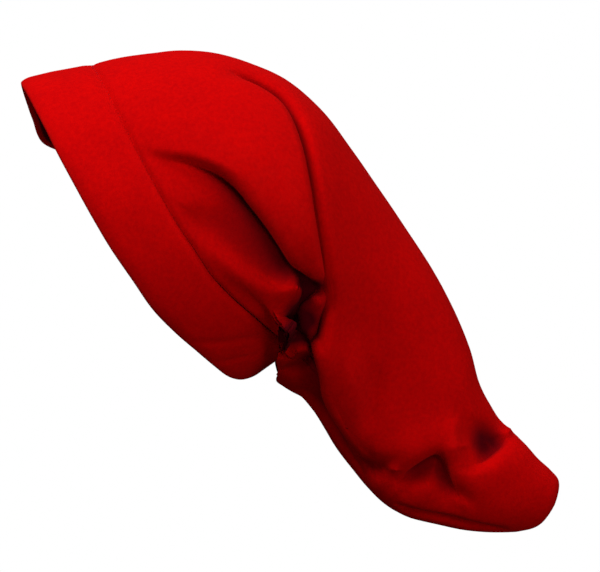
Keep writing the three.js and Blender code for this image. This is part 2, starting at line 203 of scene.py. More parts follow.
LEFT_FOLDS = (
    Fold("roll, flap and front edge", 0.5, 0.9, 0.4, 0.3, 0.17, 1.0, 0.43, (
        (0.05, 0.37, 0, 0), (1.41, 0.388, 0.3, 0.15), (2.62, 0.41, 0.6, 0.3), (3.55, 0.44, 0.9, 0.55),
        (4.22, 0.47, 1, 0.85), (4.7, 0.511, 1, 1), (5.16, 0.551, 1, 1), (5.66, 0.59, 1, 1),
        (6.15, 0.615, 1, 1), (7.07, 0.613, 0.9, 1), (7.8, 0.601, 0.9, 1), (8.5, 0.586, 0.7, 0.5),
        (8.0, 0.619, 0.3, 0.8), (7.42, 0.651, 0.15, 1), (6.64, 0.689, 0.1, 1), (6.41, 0.717, 0.1, 1),
        (6.66, 0.743, 0.1, 1), (7.43, 0.752, 0.5, 1), (8.17, 0.773, 1, 1), (9.37, 0.795, 1, 1),
        (10.58, 0.836, 0.9, 1), (11.6, 0.855, 0.7, 0.8), (12.45, 0.857, 0.5, 0.5), (13.34, 0.862, 0, 0))),
    Fold("crease down the fold", 0.25, 0.6, 0.7, 0.12, 0.26, 0.7, 0.14, (
        (7.83, 0.744, 0, 0.6), (8.21, 0.7, 0, 0.9), (8.84, 0.629, 0.2, 0.75), (9.14, 0.578, 0.5, 0.55),
        (8.7, 0.537, 0.9, 0.7), (8.19, 0.491, 1, 1), (8.1, 0.413, 1, 1), (8.05, 0.339, 1, 1),
        (7.9, 0.269, 1, 0.9), (7.61, 0.217, 0.8, 0.9), (7.07, 0.186, 0.7, 0.8), (6.57, 0.176, 0.5, 0.6),
        (5.96, 0.175, 0, 0))),
    Fold("arch in the middle of the end", 0.25, 0.7, 0.15, 0.1, 0.3, 0.5, 0.3, (
        (14.87, 0.778, 0, 0), (14.88, 0.701, 0.6, 0.6), (15.09, 0.63, 1, 1), (15.36, 0.572, 1, 1),
        (15.65, 0.533, 1, 1), (16.06, 0.527, 1, 1), (16.41, 0.554, 1, 1), (16.79, 0.593, 0.8, 0.9),
        (17.29, 0.65, 0, 0))),
    Fold("lip of the outer dent", 0.2, 0.5, 0, 0.1, 0.2, 0.5, 0.5, (
        (17.69, 0.15, 0, 0), (17.67, 0.236, 0.5, 0.5), (17.58, 0.335, 1, 1), (17.32, 0.435, 0.9, 0.9),
        (16.99, 0.483, 0.4, 0.4), (16.66, 0.498, 0, 0))),
    Fold("turn under the crown", 0.15, 0.7, 0.1, 0.1, 0.12, 0.6, 0.5, (
        (2.9, 0.79, 0, 0), (3.6, 0.785, 0.2, 0.4), (4.3, 0.77, 0.5, 0.8), (5.0, 0.75, 0.7, 1),
        (5.72, 0.728, 1, 1), (6.43, 0.689, 1, 1), (6.72, 0.658, 0.8, 1), (6.69, 0.634, 0.5, 0.8),
        (6.48, 0.621, 0, 0.3))),
)

RIGHT_FOLDS = (
    Fold("roll over the side", 0.5, 0.7, 0.2, 0.2, 0.4, 1.0, 1.0, (
        (4.0, 0.42, 0, 0), (6.0, 0.48, 0.7, 0.7), (7.4, 0.57, 0.6, 1), (9.0, 0.58, 0, 0.6),
        (9.8, 0.57, 0, 0))),
    Fold("crease down the fold", 0.3, 0.5, 0.2, 0.15, 0.3, 0.7, 0.5, (
        (10.3, 0.62, 0, 0), (9.9, 0.56, 0.3, 0.8), (9.4, 0.45, 1, 1), (8.6, 0.28, 0.8, 0.8),
        (7.6, 0.14, 0, 0))),
    Fold("front edge of the hanging end", 0.3, 0.9, 0.2, 0.15, 0.4, 0.8, 1.0, (
        (9.5, 0.55, 0, 0), (9.7, 0.65, 0.5, 0.9), (10.2, 0.76, 1, 1), (11.6, 0.87, 0, 0))),
)

LEFT_SWELLS = (
    Swell("pocket at the end of the roll", -1.1, 0.15, (
        (7.0, 0.632, 0.3), (7.3, 0.63, 1), (7.7, 0.616, 0.8), (8.15, 0.6, 0))),
    Swell("flap below the pocket", -0.4, 0.3, (
        (8.0, 0.63, 0), (7.7, 0.66, 1), (7.4, 0.7, 1), (7.4, 0.73, 0.6))),
    Swell("recess", -0.4, 0.3, (
        (4.2, 0.8, 0), (4.9, 0.785, 0.9), (5.6, 0.764, 1), (6.1, 0.74, 0.8), (6.35, 0.717, 0))),
    Swell("start of the recess", -0.5, 0.3, (
        (2.6, 0.79, 0), (3.3, 0.79, 1), (4.1, 0.785, 1), (4.9, 0.775, 0.6), (5.5, 0.765, 0))),
    Swell("hollow below the roll", -0.6, 0.5, (
        (1.1, 0.478, 0), (1.92, 0.51, 0.6), (2.58, 0.537, 0.8), (3.36, 0.579, 0.8), (4.45, 0.625, 0.8),
        (5.49, 0.652, 0.8), (6.27, 0.656, 0.3))),
    Swell("ridge below the hollow", 0.35, 0.25, (
        (0.51, 0.543, 0), (1.03, 0.593, 0.6), (1.82, 0.634, 0.9), (3.8, 0.667, 1), (5.48, 0.674, 1),
        (6.33, 0.656, 0.4))),
    Swell("upper wrinkle of the turn", 0.4, 0.12, (
        (5.19, 0.852, 0), (5.87, 0.818, 1), (6.61, 0.792, 1), (7.36, 0.775, 0.8))),
    Swell("lower wrinkle of the turn", -0.4, 0.14, (
        (5.17, 0.899, 0), (6.02, 0.865, 1), (6.93, 0.831, 1), (7.69, 0.793, 1))),
    Swell("ridge down the front", 0.25, 0.24, (
        (10.7, 0.52, 0), (11.13, 0.579, 0.6), (11.4, 0.627, 1), (11.84, 0.685, 1), (12.35, 0.743, 0.8),
        (13.09, 0.798, 0))),
    Swell("valley beside it", -0.4, 0.32, (
        (12.0, 0.53, 0), (12.24, 0.565, 0.7), (12.42, 0.595, 1), (12.48, 0.645, 0.9), (12.5, 0.7, 0.4),
        (12.55, 0.75, 0))),
    Swell("dent at the outer edge", -0.75, 0.4, (
        (16.41, 0.444, 0), (16.72, 0.41, 0.7), (17.08, 0.357, 1), (17.35, 0.28, 0.9), (17.5, 0.21, 0.4),
        (17.6, 0.15, 0))),
    Swell("upper part of the dent", -0.5, 0.35, (
        (16.14, 0.306, 0), (16.52, 0.313, 0.8), (16.94, 0.331, 1), (17.2, 0.34, 0))),
    Swell("dent in the middle", -0.4, 0.3, (
        (14.9, 0.72, 0), (15.2, 0.67, 0.7), (15.55, 0.62, 1), (16.0, 0.58, 1), (16.4, 0.59, 1),
        (16.75, 0.63, 0.6), (17.25, 0.67, 0))),
    Swell("dent at the front edge", -0.8, 0.28, (
        (12.6, 0.845, 0), (13.35, 0.82, 1), (13.85, 0.77, 1), (14.4, 0.71, 0))),
    Swell("ridge between the dents", 0.35, 0.2, (
        (15.5, 0.41, 0), (15.65, 0.437, 0.7), (16.1, 0.49, 1), (16.45, 0.533, 1), (16.8, 0.593, 0.6),
        (17.0, 0.63, 0))),
    Swell("groove along the lower seam", -0.5, 0.08, (
        (15.3, 0.885, 0), (15.7, 0.863, 1), (16.4, 0.827, 1), (17.3, 0.805, 1), (18.05, 0.81, 1),
        (18.75, 0.815, 0.6), (19.5, 0.83, 0))),
)

# Painted shade: swells that only darken the cloth in the recess and the pocket, and move no point.
LEFT_SHADES = (
    Swell("shade in the recess", -1.0, 0.3, (
        (2.8, 0.785, 0.4), (3.8, 0.785, 0.9), (4.9, 0.775, 1), (5.6, 0.76, 1), (6.2, 0.742, 1),
        (6.6, 0.715, 0.6))),
    Swell("shade in the pocket", -0.8, 0.2, (
        (7.0, 0.632, 1), (7.4, 0.63, 1), (7.9, 0.607, 0.8), (8.2, 0.6, 0))),
)

RIGHT_SWELLS = (
    Swell("ridge down the front", 0.25, 0.4, ((10.6, 0.4, 0), (12.0, 0.58, 1), (13.6, 0.74, 0))),
    Swell("dent in the middle", -0.5, 0.5, ((14.6, 0.5, 0.5), (15.6, 0.46, 1), (16.4, 0.36, 0.6))),
    Swell("hollow below the roll", -0.35, 0.6, (
        (2.0, 0.55, 0), (3.5, 0.6, 1), (5.5, 0.64, 0.8), (7.2, 0.66, 0))),
)

BAND_CREASES = (
    BandCrease(0.72, 0.1, 0.8, 0.85, 0.9 * MM, 3 * MM),
    BandCrease(0.79, 0.05, 0.84, 0.6, 0.8 * MM, 2.5 * MM),
)

RIM_HANG = (
    RimHang(0, 0),
    RimHang(0.05, 0.05),
    RimHang(0.1, 0.15),
    RimHang(0.2, 0.3),
    RimHang(0.33, 0.46),
    RimHang(0.5, 0.1),
    RimHang(0.66, 0.15),
    RimHang(0.82, 0.3),
    RimHang(0.95, 0.38),
    RimHang(1.01, 0.42),
    RimHang(1.06, 0.42),
    RimHang(0.96, 0.42),
    RimHang(0.8, 0.4),
    RimHang(0.66, 0.35),
    RimHang(0.52, 0.24),
    RimHang(0.29, 0.11),
    RimHang(0, 0),
)


def smooth(value: Array, low: float | Array, high: float | Array) -> Array:
    """Gives the share of the way from low to high, from 0 to 1 and eased at both ends."""
    share = np.clip((value - low) / (high - low), 0, 1)
    return share * share * (3 - 2 * share)


def bell(distance: Array, reach: float) -> Array:
    """Gives 1 at distances of 0 or less, falling away over the reach."""
    return np.exp(-((np.maximum(distance, 0) / reach) ** 2))


def unit(vectors: Array) -> Array:
    """Gives the vectors with a length of 1."""
    return vectors / np.maximum(np.linalg.norm(vectors, axis=-1, keepdims=True), NO_LENGTH)


def round_ring(count: int) -> tuple[Array, Array, tuple[tuple[Hand, Array], ...]]:
    """Gives even turns round the ring, from 0 to 2, their shares of forehead to nape, and each hand's own."""
    turn = 2 * np.arange(count) / count
    return turn, np.where(turn <= 1, turn, 2 - turn), ((Hand.LEFT, turn <= 1), (Hand.RIGHT, turn > 1))


def between(rows: Array, at: Array) -> Array:
    """Reads a table at fractional row numbers, along a smooth curve through every row.

    Args:
        rows: Table with a row for each whole number.
        at: Row numbers.

    Returns:
        One row of values for each number in at.
    """
    last = len(rows) - 1
    padded = np.vstack([2 * rows[0] - rows[1], rows, 2 * rows[-1] - rows[-2]])
    first = np.clip(np.floor(at).astype(int), 0, last - 1)
    t = (at - first)[..., None]
    before, start, end, after = (padded[first + k] for k in range(4))
    bend = 2 * before - 5 * start + 4 * end - after
    twist = 3 * (start - end) + after - before
    return start + 0.5 * t * (end - before + t * (bend + t * twist))


@dataclass
class HatForm:
    """The smooth form of the hat, without its folds, from the same sizes as the frame.

    A row of its sections holds x and z of the top end, x and z of the nape end, the reach to the side, the
    share of the rim's hang, the sag and the squareness.
    """

    rim_length: float = 210 * MM
    rim_width: float = 156 * MM
    rim_tilt: float = math.radians(52)
    rim_hang: float = 20 * MM
    band_height: float = 37 * MM
    band_wall: float = 3 * MM
    band_puff: float = 1.5 * MM
    cloth_wall: float = 2 * MM
    seam_gap: float = 0.002 * MM
    ditch_at_ends: float = 0.35
    ditch_blend: float = 0.1
    crown_rise: float = 86 * MM
    sag_power: float = 4
    tail_length: float = 178 * MM
    tail_width: float = 111 * MM
    tail_thickness: float = 75 * MM
    tail_drop: float = math.radians(45)
    sections: Array = field(init=False)
    rim: Array = field(init=False)

    def __post_init__(self) -> None:
        """Works out the table of sections from the sizes."""
        crown = [self._crown_row(section) for section in CROWN]
        root = (np.array(crown[-1][0:2]) + np.array(crown[-1][2:4])) / 2
        tail = [self._tail_row(section, root) for section in TAIL]
        self.sections = np.array(crown + tail)
        front, back = (self.in_profile(half * self.rim_length, 0) for half in (0.5, -0.5))
        self.rim = np.array([*front, *back, self.rim_width / 2, 1, 0, 2])

    @property
    def tip(self) -> int:
        """The section number of the tip."""
        return len(self.sections) - 1

    def in_profile(self, along: float | Array, out: float | Array) -> tuple[float | Array, float | Array]:
        """Gives x and z of a point so far along the rim's line to the forehead, and out into the crown."""
        sine, cosine = math.sin(self.rim_tilt), math.cos(self.rim_tilt)
        return out * sine - along * cosine, along * sine + out * cosine

    def hang_at(self, around: Array, hand: Hand) -> Array:
        """Gives how far the rim hangs at shares of the way round it."""
        rows = np.array([[row.left if hand is Hand.LEFT else row.right] for row in RIM_HANG])
        return self.rim_hang * between(rows, np.asarray(around) * (len(rows) - 1))[..., 0]

    def seam_ditch(self, around: Array) -> Array:
        """Gives how much of the ditch along the band seam there is, less beside the panels' own seams."""
        blend = smooth(np.minimum(around, 1 - around), 0, self.ditch_blend)
        return self.ditch_at_ends + (1 - self.ditch_at_ends) * blend

    def _crown_row(self, section: CrownSection) -> list[float]:
        """Works out a section of the crown.

        Args:
            section: Its shares.

        Returns:
            A row of the sections.
        """
        length, rise = self.rim_length, self.crown_rise
        top = self.in_profile(section.top_along * length, self.band_height + section.top_out * rise)
        nape = self.in_profile(section.nape_along * length, self.band_height + section.nape_out * rise)
        side = section.side * self.rim_width / 2
        return [*top, *nape, side, section.dip, section.sag * rise, section.square]

    def _tail_row(self, section: TailSection, root: Array) -> list[float]:
        """Works out a section of the hanging end.

        Args:
            section: Its shares.
            root: Middle of the crown's last section, where the end starts to hang.

        Returns:
            A row of the sections.
        """
        drop = self.tail_drop
        along, drift = section.along * self.tail_length, section.drift * self.tail_width
        x = root[0] + along * math.cos(drop) + drift * math.sin(drop)
        z = root[1] - along * math.sin(drop) + drift * math.cos(drop)
        lean = math.pi / 2 - drop + math.radians(section.turn)
        half = section.half * self.tail_width
        across, up = half * math.cos(lean), half * math.sin(lean)
        side = section.side * self.tail_thickness / 2
        return [x + across, z + up, x - across, z - up, side, 0, 0, section.square]

    def on_section(self, section: Array, around: Array, hand: Hand, puff: float | Array = 0) -> Array:
        """Gives points at shares of the way round sections.

        Args:
            section: Rows of the section table.
            around: Shares of the way from the top seam to the nape seam.
            hand: Side of the hat.
            puff: Distance outside the section.

        Returns:
            Points, one for each row.
        """
        top_x, top_z, nape_x, nape_z, side, dip, sag, square = np.moveaxis(section, -1, 0)
        half_x, half_z = (top_x - nape_x) / 2, (top_z - nape_z) / 2
        half = np.maximum(np.hypot(half_x, half_z), LEAST_LENGTH)
        cosine, sine = np.cos(np.pi * around), np.maximum(np.sin(np.pi * around), 0)
        reach = np.sign(cosine) * np.abs(cosine) ** (2 / square) * (1 + puff / half)
        hang = dip * self.hang_at(around, hand) / half
        sag_x, sag_z = self.in_profile(0, sag * np.clip((1 - reach) / 2, 0, 1) ** self.sag_power)
        x = (top_x + nape_x) / 2 + half_x * reach - half_z * hang - sag_x
        z = (top_z + nape_z) / 2 + half_z * reach + half_x * hang - sag_z
        y = hand.value * (self.seam_gap / 2 + (side + puff) * sine ** (2 / square))
        return np.stack([x, y, z], -1)

    def cloth(self, at: Array, around: Array, hand: Hand) -> Array:
        """Gives points of a panel's outer face before its folds."""
        return self.on_section(between(self.sections, at), around, hand)

    def outward(self, at: Array, around: Array, hand: Hand) -> Array:
        """Gives the ways out of a panel's outer face before its folds.

        Args:
            at: Section numbers.
            around: Shares of the way from the top seam to the nape seam.
            hand: Side of the hat.

        Returns:
            Unit vectors.
        """
        step, tip_margin, seam_margin = 0.004, 0.08, 0.008
        row = np.clip(at, step, self.tip - tip_margin)
        share = np.clip(around, seam_margin, 1 - seam_margin)
        down = self.cloth(row + step, share, hand) - self.cloth(row - step, share, hand)
        across = self.cloth(row, share + step, hand) - self.cloth(row, share - step, hand)
        return unit(np.cross(across, down) * -hand.value)


@dataclass
class FoldedCloth:
    """Where the folds of one panel move the smooth form.

    Shades are painted shade: they only darken the cloth. facing is how much it counts that a part of a path
    faces a point squarely.
    join_width, with join_share of the distance, is how far the strengths of a path's parts run together.
    """

    form: HatForm
    hand: Hand
    folds: tuple[Fold, ...]
    swells: tuple[Swell, ...]
    shades: tuple[Swell, ...] = ()
    seam_fade: float = 0.07
    band_fade: float = 1.2
    nape_section: float = 3.0
    nape_around: float = 0.74
    nape_blend: float = 0.12
    steps_per_point: int = 7
    facing: float = 0.002
    join_share: float = 0.3
    join_width: float = 0.5 * MM
    softening: float = 0.3
    lap_peak: float = 2.6
    lap_start: float = 0.55
    groove_width: float = 1.5 * MM
    crowd_reach: float = 5 * MM
    in_outline: float = 0.35
    unevenness: float = 0.45 * MM
    ripples: int = 26
    ripple_length: tuple[float, float] = (22 * MM, 70 * MM)
    depth_limit: float = 1.6
    seed: int = 5

    def _trace(self, path: Path) -> tuple[Array, Array]:
        """Traces a smooth path through the points of a table.

        Args:
            path: Section numbers, shares of the way from the top seam to the nape seam, and strengths.

        Returns:
            Points of the middle plane, and the strengths at each.
        """
        rows, steps = np.array(path, float), self.steps_per_point
        traced = between(rows, np.arange((len(rows) - 1) * steps + 1) / steps)
        where = self.form.cloth(traced[:, 0], traced[:, 1], Hand.LEFT)
        return where[:, [0, 2]], np.clip(traced[:, 2:], 0, 1)

    def _from_path(self, where: Array, path: Path) -> tuple[Array, Array, Array]:
        """Measures points against a path.

        Of two equally near parts of the path, the one that a point faces more squarely counts.

        Args:
            where: Points of the middle plane.
            path: Points of the path, as in the tables.

        Returns:
            Distances, positive to the left of the path, the strengths at the nearest place, and the unit
            vectors to the left there.
        """
        traced, strength = self._trace(path)
        start, run = traced[:-1], np.diff(traced, axis=0)
        offset = where[:, None, :] - start
        share = np.clip((offset * run).sum(-1) / np.maximum((run**2).sum(-1), NO_LENGTH), 0, 1)
        away = offset - share[..., None] * run
        length = np.sqrt((away**2).sum(-1))
        cross = np.abs(away[..., 0] * run[:, 1] - away[..., 1] * run[:, 0])
        cross /= np.maximum(np.linalg.norm(run, axis=-1), NO_LENGTH)
        nearest = (length - self.facing * cross).argmin(1)
        pick = np.arange(len(where)), nearest
        distance = length[pick]
        left = unit(np.stack([-run[nearest, 1], run[nearest, 0]], -1))
        across = (left * away[pick]).sum(-1)
        beside = np.where(distance > LEAST_LENGTH, np.abs(across) / np.maximum(distance, NO_LENGTH), 1)
        width = self.join_share * distance + self.join_width
        spread = np.exp(-(length - distance[:, None]) / width[:, None])
        here = spread @ ((strength[:-1] + strength[1:]) / 2) / spread.sum(1, keepdims=True)
        return np.where(across < 0, -distance, distance), here * beside[:, None], left

    def crowding(self, at: Array, around: Array) -> tuple[Array, Array]:
        """Gives how much closer the points should lie along the rows and along the columns of a grid.

        Args:
            at: Section numbers, as a grid.
            around: Shares of the way from the top seam to the nape seam, as a grid.

        Returns:
            A share from 0 to 1 for closer rows, and one for closer columns.
        """
        where = self.form.cloth(at.ravel(), around.ravel(), Hand.LEFT)[:, [0, 2]]
        grid = where.reshape(*at.shape, 2)
        ways = [unit(np.gradient(grid, axis=axis).reshape(-1, 2)) for axis in (0, 1)]
        shares = [np.zeros(len(where)), np.zeros(len(where))]
        for fold in self.folds:
            distance, strength, left = self._from_path(where, fold.path)
            near = strength[:, 1] * bell(np.abs(distance), self.crowd_reach)
            for share, way in zip(shares, ways):
                np.maximum(share, near * (way * left).sum(-1) ** 2, out=share)
        return shares[0].reshape(at.shape), shares[1].reshape(at.shape)

    def _fade(self, at: Array, around: Array) -> Array:
        """Works out how much of the folds is left beside the seams and above the band.

        Args:
            at: Section numbers.
            around: Shares of the way from the top seam to the nape seam.

        Returns:
            Shares from 0 to 1.
        """
        seams = smooth(np.minimum(around, 1 - around), 0, self.seam_fade)
        start = self.nape_section * smooth(around, self.nape_around, self.nape_around + self.nape_blend)
        return seams * smooth(at, start, start + self.band_fade)

    def _uneven(self, where: Array) -> Array:
        """Adds up ripples at random that make limp cloth slightly uneven.

        Args:
            where: Points in space.

        Returns:
            The height at each.
        """
        random = np.random.default_rng(self.seed + self.hand.value)
        height = np.zeros(len(where))
        for _ in range(self.ripples):
            direction = random.normal(size=3)
            direction /= np.linalg.norm(direction)
            length = random.uniform(*self.ripple_length)
            start = random.uniform(0, 2 * np.pi)
            height += np.sin(2 * np.pi * (where @ direction) / length + start) * length
        return height / np.abs(height).max() * self.unevenness

    def move(self, at: Array, around: Array) -> tuple[Array, Array]:
        """Folds the outer face.

        Args:
            at: Section numbers.
            around: Shares of the way from the top seam to the nape seam.

        Returns:
            Points of the folded outer face, and how far the folds raise each, as a share of FOLD_DEPTH, less
            where shade is painted.
        """
        where = self.form.cloth(at, around, self.hand)
        normal = self.form.outward(at, around, self.hand)
        flat = where[:, [0, 2]]
        height, shift = np.zeros(len(at)), np.zeros((len(at), 2))
        for fold in self.folds:
            distance, strength, left = self._from_path(flat, fold.path)
            lifted, sunk = strength.T
            lap = sunk**2 * fold.lap
            edge = distance - self.lap_start * lap * FOLD_DEPTH
            width = fold.shoulder * FOLD_REACH * (1 + self.softening * (1 - sunk))
            turn = np.clip(edge / width, 0, 1)
            rise = sunk * np.sqrt(1 - (1 - turn) ** 2) + (1 - sunk) * smooth(turn, 0, 1)
            over = lifted * fold.lift * rise * bell(edge - width, fold.left_reach * FOLD_REACH)
            beside = fold.sink * bell(-distance, fold.right_reach * FOLD_REACH)
            groove = fold.groove * sunk
            beside += groove * bell(-distance, self.groove_width)
            height += over - sunk * np.where(edge > 0, (1 - rise) * (fold.sink + groove), beside)
            shift -= (lap * self.lap_peak * np.sqrt(turn) * (1 - turn))[:, None] * left
        height += self._swelling(flat, self.swells)
        height = np.maximum(height, self.depth_limit * np.tanh(height / self.depth_limit))
        fade = self._fade(at, around)
        way = unit(normal * np.array([self.in_outline, 1, self.in_outline]))
        moved = where + way * (fade * (FOLD_DEPTH * height + self._uneven(where)))[:, None]
        moved[:, [0, 2]] += shift * (FOLD_DEPTH * fade)[:, None]
        # The shades lower only this value, which the material turns into painted shade.
        return moved, fade * (height + self._swelling(flat, self.shades))

    def _swelling(self, flat: Array, swells: tuple[Swell, ...]) -> Array:
        """Adds up soft ridges and dents.

        Args:
            flat: Points of the middle plane.
            swells: The ridges and dents.

        Returns:
            How far they raise each point, as a share of FOLD_DEPTH.
        """
        height = np.zeros(len(flat))
        for swell in swells:
            distance, strength, _ = self._from_path(flat, swell.path)
            height += strength[:, 0] * swell.height * bell(np.abs(distance), swell.reach * FOLD_REACH)
        return height


def grid_faces(rows: int, columns: int, first: int, flip: bool) -> Faces:
    """Gives the faces of a grid of points.

    Args:
        rows: Rows of points.
        columns: Points in a row.
        first: Number of the first point.
        flip: Whether the faces turn the other way.

    Returns:
        Faces of four points.
    """
    corner = first + np.arange(rows * columns).reshape(rows, columns)
    quads = np.stack([corner[:-1, :-1], corner[:-1, 1:], corner[1:, 1:], corner[1:, :-1]], -1)
    quads = quads.reshape(-1, 4)
    return [tuple(quad) for quad in (quads[:, ::-1] if flip else quads).tolist()]


def new_object(name: str, points: Array, faces: Faces, uv: Array) -> bpy.types.Object:
    """Makes a smooth mesh object at the origin.

    Args:
        name: Name of the piece.
        points: Its points.
        faces: Its faces.
        uv: Place of each point on the flat cloth, in metres.

    Returns:
        The object, in the scene.
    """
    mesh = bpy.data.meshes.new(name)
    mesh.from_pydata(points.tolist(), [], faces)
    mesh.polygons.foreach_set("use_smooth", [True] * len(mesh.polygons))
    corners = np.zeros(len(mesh.loops), int)
    mesh.loops.foreach_get("vertex_index", corners)
    mesh.uv_layers.new(name="cloth").data.foreach_set("uv", uv[corners].ravel())
    mesh.set_sharp_from_angle(angle=SHARP_ANGLE)
    thing = bpy.data.objects.new(name, mesh)
    bpy.context.scene.collection.objects.link(thing)
    return thing


def set_attribute(thing: bpy.types.Object, name: str, values: Array) -> None:
    """Stores one number for each point of a piece."""
    attribute = thing.data.attributes.new(name, "FLOAT", "POINT")
    attribute.data.foreach_set("value", values.astype(np.float32))


def place_piece(piece: bpy.types.Object, material: bpy.types.Material, node: str = "") -> None:
    """Dresses a piece, seats it on the hat's body and reports it.

    Args:
        piece: The piece.
        material: Its finish.
        node: The node that it stands for, if any.
    """
    if not piece.data.materials:
        piece.data.materials.append(material)
    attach(piece, BODY)
    if node:
        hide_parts(node)
    LOG.info("%s: %d faces", piece.name, len(piece.data.polygons))


@dataclass
class ClothPanel:
    """One side of the bag, from the band seam to the tip, as a wall of brushed cotton."""

    form: HatForm
    cloth: FoldedCloth
    name: str
    node: str
    rows: int = 351
    columns: int = 221
    closer: float = 4.0
    seam_pull: float = 2.0 * MM
    seam_width: float = 3.2 * MM
    pucker: float = 0.15 * MM
    pucker_width: float = 7 * MM
    pucker_length: float = 14 * MM
    pucker_drift: float = 37
    cut: tuple[float, float] = (290 * MM, 410 * MM)
    cut_area: float = 0.053

    def _spread(self, crowd: Array, grids: tuple[Array, ...], axis: int) -> list[Array]:
        """Spaces a grid's points anew along one axis.

        Args:
            crowd: How much closer they should lie, from 0 to 1.
            grids: Values at the points.
            axis: The axis.

        Returns:
            The values at the new points.
        """
        weight = 1 + self.closer * np.moveaxis(crowd, axis, -1)
        length = np.cumsum((weight[:, 1:] + weight[:, :-1]) / 2, axis=1)
        length = np.hstack([np.zeros((len(length), 1)), length]) / length[:, -1:]
        even = np.linspace(0, 1, length.shape[1])
        lines = [np.moveaxis(grid, axis, -1) for grid in grids]
        spread = [np.stack([np.interp(even, *pair) for pair in zip(length, line)]) for line in lines]
        return [np.moveaxis(line, -1, axis) for line in spread]

    def _places(self) -> tuple[Array, Array]:
        """Places the points, closer together across the fold lines.

        Returns:
            The section number of each, and the share of the way from the top seam to the nape seam.
        """
        at, around = np.meshgrid(
            np.linspace(0, self.form.tip, self.rows), np.linspace(0, 1, self.columns), indexing="ij"
        )
        (at,) = self._spread(self.cloth.crowding(at, around)[0], (at,), 0)
        at, around = self._spread(self.cloth.crowding(at, around)[1], (at, around), 1)
        return at, around

    def build(self) -> bpy.types.Object:
        """Builds the wall, closed along its seams and at the tip.

        Returns:
            The piece.
        """
        form, hand = self.form, self.cloth.hand
        at, around = (grid.ravel() for grid in self._places())
        outer, raised = self.cloth.move(at, around)
        shape = (self.rows, self.columns)
        layer, share = outer.reshape(*shape, 3), around.reshape(shape)
        uv = self._flat(layer, share)
        outer = outer - form.outward(at, around, hand) * self._pull(layer, uv, share).reshape(-1, 1)
        inner = outer - form.cloth_wall * self._inward(at, around)
        layers = []
        for face in (outer, inner):
            face[:, 1] = hand.value * np.maximum(hand.value * face[:, 1], form.seam_gap / 2)
            layers.append(face.reshape(*shape, 3))
        points, faces = self._close(layers)
        crest = raised.reshape(shape)
        piece = new_object(self.name, points, faces, self._both(uv, uv))
        # crest holds the fold height with the painted shades; where it is low the material paints shade.
        set_attribute(piece, "crest", self._both(crest, crest))
        return piece

    def _pull(self, layer: Array, uv: Array, around: Array) -> Array:
        """Works out how far the seams draw the cloth in, with small puckers along the band.

        Args:
            layer: The outer face, as a grid of points.
            uv: Their places on the flat cloth.
            around: Their shares of the way from the top seam to the nape seam.

        Returns:
            Depths at the points.
        """
        down = np.linalg.norm(np.diff(layer, axis=0), axis=-1)
        from_band = np.vstack([np.zeros((1, layer.shape[1])), np.cumsum(down, axis=0)])
        from_edge = np.abs(uv[:, :1, 0]) - np.abs(uv[..., 0])
        across = uv[..., 0]
        wave = np.sin(2 * np.pi * across / self.pucker_length + np.sin(self.pucker_drift * across))
        along_band = bell(from_band, self.seam_width) * self.form.seam_ditch(around)
        drawn = self.seam_pull * np.maximum(along_band, bell(from_edge, self.seam_width))
        return drawn + self.pucker * wave * bell(from_band, self.pucker_width)

    def _inward(self, at: Array, around: Array) -> Array:
        """Works out which way the wall has its thickness, flat on the seam at the band and at the tip.

        Args:
            at: Section numbers.
            around: Shares of the way from the top seam to the nape seam.

        Returns:
            Unit vectors, pointing out.
        """
        form, hand = self.form, self.cloth.hand
        normal = form.outward(at, around, hand)
        section = between(form.sections, at)
        edge = form.on_section(section, around, hand)
        edge = unit(edge - form.on_section(section, around, hand, -form.cloth_wall))
        along = np.array([math.cos(form.tail_drop), 0, -math.sin(form.tail_drop)])
        near_band = np.clip(1 - at, 0, 1)[:, None]
        near_tip = np.clip(at - form.tip + 1, 0, 1)[:, None]
        return unit(normal * (1 - near_band - near_tip) + edge * near_band + along * near_tip)

    @staticmethod
    def _as_points(grid: Array) -> Array:
        """Gives a grid's values point by point, with its last row as one value for the tip."""
        body = grid[:-1].reshape(-1, *grid.shape[2:])
        return np.concatenate([body, grid[-1:, grid.shape[1] // 2]])

    def _both(self, outer: Array, inner: Array) -> Array:
        """Gives the values of both faces, with every second row and column of the inner one."""
        return np.concatenate([self._as_points(outer), self._as_points(inner[::2, ::2])])

    def _close(self, layers: list[Array]) -> tuple[Array, Faces]:
        """Joins the outer face and the coarser inner face into one closed wall.

        Args:
            layers: The two faces, as grids of points.

        Returns:
            Points and faces.
        """
        outer, inner = layers
        columns, rows = outer.shape[1], outer.shape[0] - 1
        half_columns, half_rows = (columns + 1) // 2, rows // 2
        first = rows * columns + 1
        out = np.arange(rows * columns).reshape(rows, columns)
        end = first + half_rows * half_columns
        into = np.arange(first, end).reshape(half_rows, half_columns)
        into = np.vstack([into, np.full((1, half_columns), end)])
        out = np.vstack([out, np.full((1, columns), first - 1)])
        flip = self.cloth.hand is Hand.RIGHT
        faces = grid_faces(rows, columns, 0, flip) + grid_faces(half_rows, half_columns, first, not flip)
        last, inner_last = out[-2], into[-2]
        sides = [(last[j], last[j + 1], first - 1) for j in range(columns - 1)]
        sides += [(inner_last[j + 1], inner_last[j], end) for j in range(half_columns - 1)]
        for j in range(half_columns - 1):
            sides.append((into[0, j], into[0, j + 1], *out[0, 2 * j : 2 * j + 3][::-1]))
        for i in range(half_rows):
            near, far = out[2 * i : 2 * i + 3, 0], out[2 * i : 2 * i + 3, -1]
            sides.append((into[i, 0], *near, into[i + 1, 0]))
            sides.append((*far[::-1], into[i, -1], into[i + 1, -1]))
        faces += [tuple(int(corner) for corner in (side[::-1] if flip else side)) for side in sides]
        return self._both(outer, inner), faces

